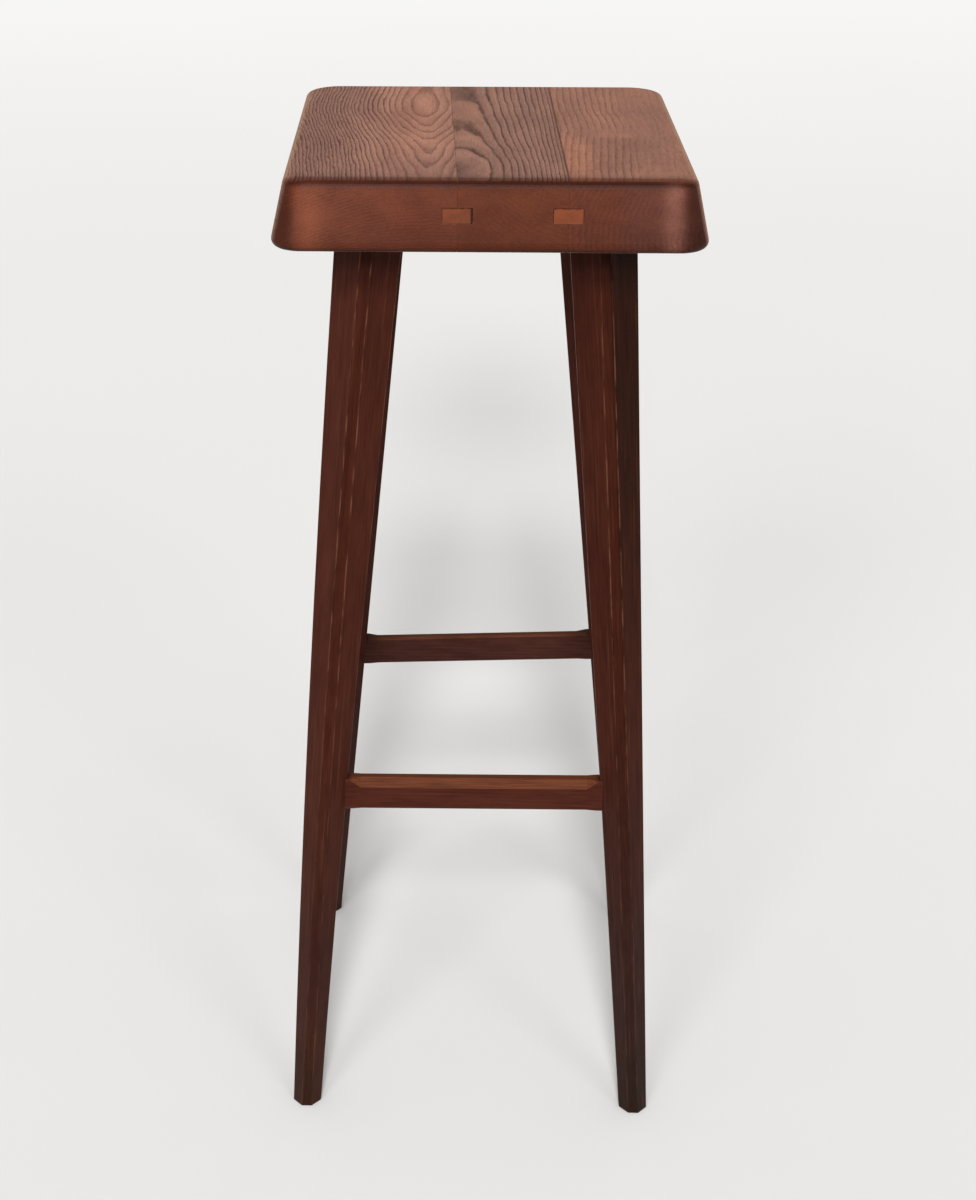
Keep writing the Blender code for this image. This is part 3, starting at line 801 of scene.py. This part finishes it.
def add_glue(name, board_name, side, upper, material):
    """A thin plate in the seam beside a board, above or below the spline."""
    mesh = bpy.data.meshes.new(name)
    form = bmesh.new()
    form.from_mesh(NODES[board_name].data)
    bmesh.ops.remove_doubles(form, verts=form.verts, dist=WELD_DISTANCE)
    low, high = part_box(board_name)
    edge = high.x if side > 0 else low.x
    middle = (low.z + high.z) / 2

    def elsewhere(face):
        """Whether a face of the board lies outside the seam's wanted half."""
        centre = face.calc_center_median()
        turned = face.normal.x * side < SEAM_LEVEL_SHARE
        return turned or abs(centre.x - edge) > SEAM_DEPTH or (centre.z > middle) != upper

    bmesh.ops.delete(form, geom=[face for face in form.faces if elsewhere(face)], context="FACES")
    bmesh.ops.dissolve_limit(form, angle_limit=FLAT_ANGLE, verts=form.verts, edges=form.edges)

    # Draw the faces' rims in lengthwise and upwards, and set them within the gap
    sizes = [(min(values), max(values)) for values in zip(*(vertex.co for vertex in form.verts))]
    for vertex in form.verts:
        for axis in (1, 2):
            start, end = sizes[axis]
            centre = (start + end) / 2
            vertex.co[axis] = centre + (vertex.co[axis] - centre) * (1 - 2 * GLUE_INSET / (end - start))
        vertex.co.x += side * (SEAM_GAP + GLUE_WIDTH) / 2
    bmesh.ops.solidify(form, geom=form.faces, thickness=GLUE_WIDTH)
    bmesh.ops.recalc_face_normals(form, faces=form.faces)
    form.to_mesh(mesh)
    form.free()
    mesh.materials.append(material)
    plate = bpy.data.objects.new(name, mesh)
    bpy.context.scene.collection.objects.link(plate)
    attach(plate, "root")


def start_stick(name, origin, axis, side, seed, bow=0.0):
    """A new wood for a leg or rung, with places and noises laid along its own axis."""
    material, tree, shader = new_material(f"{name}_wood")
    place = object_place(tree, origin)

    # A bowed leg follows a parabola that stands out furthest at half its height
    if bow:
        share = place[2] / (SEAT_UNDERSIDE * MILLIMETRES)
        place[0] = place[0] + share * (1.0 - share) * (4 * bow * MILLIMETRES)
    own = [along(place, direction) for direction in (side, axis.cross(side), axis)]
    return SimpleNamespace(
        material=material, tree=tree, shader=shader, own=own, face=surface_normal(tree),
        grain=grain_of(own, STICK_NOISES, seed))


def grained_stick(stick, colour, worn):
    """Clouds, blotches, rings, worn streaks and open pores over a stain, and their relief."""
    own, grain = stick.own, stick.grain
    drift = (grain.drift - NOISE_MIDDLE) * STICK_DRIFT
    lines = ring_line((own[0] + own[1] * STICK_RING_TILT + drift) / STICK_RING_WIDTH, STICK_LINE_WIDTH)
    dashes = ramp(grain.pores, *STICK_PORES)
    colour = marked(colour, grain.clouds, STICK_CLOUD_MARK)
    colour = marked(colour, grain.blotches, STICK_BLOTCH_MARK)
    colour = marked(colour, grain.fibres, STICK_FIBRE_MARK)
    colour = tint(lines * STICK_LINE_SHARE, colour, STICK_LINE_TINT)
    colour = blend(ramp(grain.streaks, *STICK_STREAKS) * STICK_STREAK_SHARE, colour, worn)
    colour = tint(dashes * STICK_PORE_SHARE, colour, STICK_PORE_TINT)
    relief = 1.0 - dashes * STICK_PORE_DEPTH - lines * STICK_LINE_DEPTH - grain.fibres * STICK_FIBRE_DEPTH
    return colour, relief


def finish_stick(stick, colour, relief):
    """Close the material of a leg or rung."""
    roughness = (stick.grain.fibres - NOISE_MIDDLE) * FIBRE_ROUGHNESS + STICK_ROUGHNESS
    finish_wood(stick.tree, stick.shader, colour, roughness, relief, STICK_RELIEF, STICK_REFLECTION)
    return stick.material


def leg_line(name):
    """A leg's foot, the direction up its centre line, and the way that its outer flat faces."""
    side_x, side_y = LEG_SIDES[name]
    foot = Vector((side_x * LEG_FOOT_SPREAD[0] / 2, side_y * LEG_FOOT_SPREAD[1] / 2, 0))
    top = Vector((side_x * LEG_TOP_SPREAD[0] / 2, side_y * LEG_TOP_SPREAD[1] / 2, SEAT_UNDERSIDE))
    if name == "leg_rear_right":
        foot.x += LEG_REAR_RIGHT_FOOT_OUTSET
        top.x -= LEG_REAR_RIGHT_TOP_INSET
    turn = Matrix.Rotation(LEG_FRAME_ANGLE, 3, "Z")
    axis = (turn @ (top - foot)).normalized()
    outward = turn @ Vector((side_x, side_y, 0)).normalized()
    outward = (outward - axis * outward.dot(axis)).normalized()
    return turn @ foot + Vector((SEAT_MIDDLE_X, 0, 0)), axis, outward


def leg_wood(name, seed, low, high, worn, dark_face):
    """Dark stain along a leg, redder above, with light lines along its arrises that are partly wear and
    partly painted highlight, and painted shade on its front faces and under the seat.
    """
    foot, axis, outward = leg_line(name)
    stick = start_stick(name, foot, axis, outward, seed, LEG_BOWS.get(name, 0.0))
    out, aside, height = stick.own
    half = height * LEG_TAPER_SHARE + LEG_FOOT_HALF
    colour = blend(ramp(height, *LEG_STAIN_RISE), low, high)
    colour = marked(colour, height, LEG_FOOT_MARK)
    # Painted shade on the faces turned to the front
    colour = marked(colour, -stick.face[1], LEG_FRONT_SHADE_MARK)
    if dark_face:
        dark = ramp(out - half, *LEG_DARK_FACE) * ramp(height, *LEG_DARK_RISE)
        colour = tint(dark, colour, LEG_DARK_TINT)
    # Painted shadow of the seat on the leg's top
    colour = marked(colour, height, LEG_TOP_SHADE_MARK)
    colour, relief = grained_stick(stick, colour, worn)

    # An arris lies where the smaller distance from the axis passes the chamfer's start
    inner = compute("MINIMUM", absolute(out), absolute(aside)) - half + LEG_CHAMFER
    arris = patch(inner, *ARRIS_BAND) * ramp(stick.grain.chips, *ARRIS_CHIPS)
    arris = arris * at_least(ramp(height, *ARRIS_RISE), ARRIS_LEAST)
    # Light lines along the arrises: partly wear, partly painted highlight
    colour = blend(arris * ARRIS_SHARE, colour, ARRIS_WEAR_AND_HIGHLIGHT_COLOUR)
    return finish_stick(stick, colour, relief)


def rung_wood(name, seed, low, high, worn):
    """Dark stain along a rung, worn lighter on what faces up, away from its ends."""
    bottom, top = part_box(name)
    axis = RUNG_AXES[name]
    stick = start_stick(name, (bottom + top) / 2, axis, Vector((0, 0, 1)), seed)
    distance = absolute(stick.own[2])
    reach = (top - bottom).dot(axis) / 2 * MILLIMETRES - RUNG_SOUND_END
    colour = blend(ramp(distance, *RUNG_STAIN_RISE), low, high)
    colour, relief = grained_stick(stick, colour, worn)
    wear_and_highlight = ramp(stick.face[2], *RUNG_WEAR_FACING) * ramp(distance - reach, *RUNG_WEAR_FADE)
    wear_and_highlight = wear_and_highlight * at_least(ramp(stick.grain.fibres, *RUNG_WEAR_FIBRES), RUNG_WEAR_LEAST)
    return finish_stick(stick, blend(wear_and_highlight, colour, worn), relief)


def dress(name, material):
    """Give a solid its wood."""
    for slot in NODES[name].material_slots:
        slot.material = material


def dress_stool():
    """Give every solid its own wood, and fill the seams."""
    for name, board in SEAT_WOODS.items():
        dress(name, seat_wood(name, board))
    for name, wood in SPLINE_WOODS.items():
        dress(name, spline_wood(name, **wood))
    glue = glue_wood()
    for seam, side in (("left", -1), ("right", 1)):
        for level in ("upper", "lower"):
            add_glue(f"seam_{seam}_{level}", "seat_board_centre", side, level == "upper", glue)
    for number, name in enumerate(LEG_SIDES):
        colours = DARK_LEG_COLOURS if name == DARK_LEG else LEG_COLOURS
        dress(name, leg_wood(name, LEG_SEED + SEED_STEP * number, **colours))
    for number, name in enumerate(RUNG_AXES):
        colours = REAR_RUNG_COLOURS if name == REAR_RUNG else RUNG_COLOURS
        dress(name, rung_wood(name, RUNG_SEED + SEED_STEP * number, **colours))


def add_camera():
    """The camera at the photograph's place and angle."""
    data = bpy.data.cameras.new("camera")
    data.lens = CAMERA_LENS
    data.sensor_width = CAMERA_SENSOR
    data.shift_x = CAMERA_SHIFT_X
    data.clip_start, data.clip_end = CAMERA_CLIP
    camera = bpy.data.objects.new("camera", data)
    bpy.context.scene.collection.objects.link(camera)
    camera.rotation_euler = [math.radians(angle) for angle in CAMERA_ANGLES]
    camera.location = CAMERA_PLACE
    bpy.context.scene.camera = camera


def add_window(name, bearing, height, spread, strength):
    """Soft even light from far off: its bearing, height and breadth in degrees."""
    data = bpy.data.lights.new(name, "SUN")
    data.energy = strength
    data.angle = math.radians(spread)
    lamp = bpy.data.objects.new(name, data)
    bpy.context.scene.collection.objects.link(lamp)
    turn, rise = math.radians(bearing), math.radians(height)
    source = Vector((math.sin(turn) * math.cos(rise), -math.cos(turn) * math.cos(rise), math.sin(rise)))
    lamp.rotation_mode = "QUATERNION"
    lamp.rotation_quaternion = (-source).to_track_quat("-Z", "Y")


def add_floor():
    """A wide pale floor that grows a little lighter far behind the stool."""
    mesh = bpy.data.meshes.new("floor")
    signs = ((-1, -1), (1, -1), (1, 1), (-1, 1))
    corners = [(x * FLOOR_REACH, y * FLOOR_REACH, 0) for x, y in signs]
    mesh.from_pydata(corners, [], [(0, 1, 2, 3)])
    floor = bpy.data.objects.new("floor", mesh)
    bpy.context.scene.collection.objects.link(floor)
    material, tree, shader = new_material("floor_paint")
    place = object_place(tree)
    mottle = noise(place, FLOOR_NOISE, FLOOR_SEED)
    tree.links.new(blend(mottle, *FLOOR_COLOURS), shader.inputs["Base Color"])
    shader.inputs["Roughness"].default_value = FLOOR_ROUGHNESS
    shader.inputs["Specular IOR Level"].default_value = 0.0
    rays = tree.nodes.new("ShaderNodeLightPath")
    far = ramp(place[1], *FLOOR_FAR) * Field(tree, rays.outputs["Is Camera Ray"])
    shader.inputs["Emission Color"].default_value = WHITE
    plug(tree, far * FLOOR_GLOW, shader.inputs["Emission Strength"])
    mesh.materials.append(material)


def add_light():
    """An even white sky, lighter where the camera sees it, and soft windows before the stool."""
    world = bpy.data.worlds.new("studio")
    bpy.context.scene.world = world
    world.use_nodes = True
    tree = world.node_tree
    background = tree.nodes["Background"]
    background.inputs["Color"].default_value = SKY_COLOUR
    rays = tree.nodes.new("ShaderNodeLightPath")
    seen = Field(tree, rays.outputs["Is Camera Ray"])
    plug(tree, seen * SKY_SEEN_STRENGTH + SKY_STRENGTH, background.inputs["Strength"])
    for name, window in WINDOWS.items():
        add_window(name, *window)


dress_stool()
add_camera()
add_floor()
add_light()
bpy.context.scene.view_settings.view_transform = "Standard"
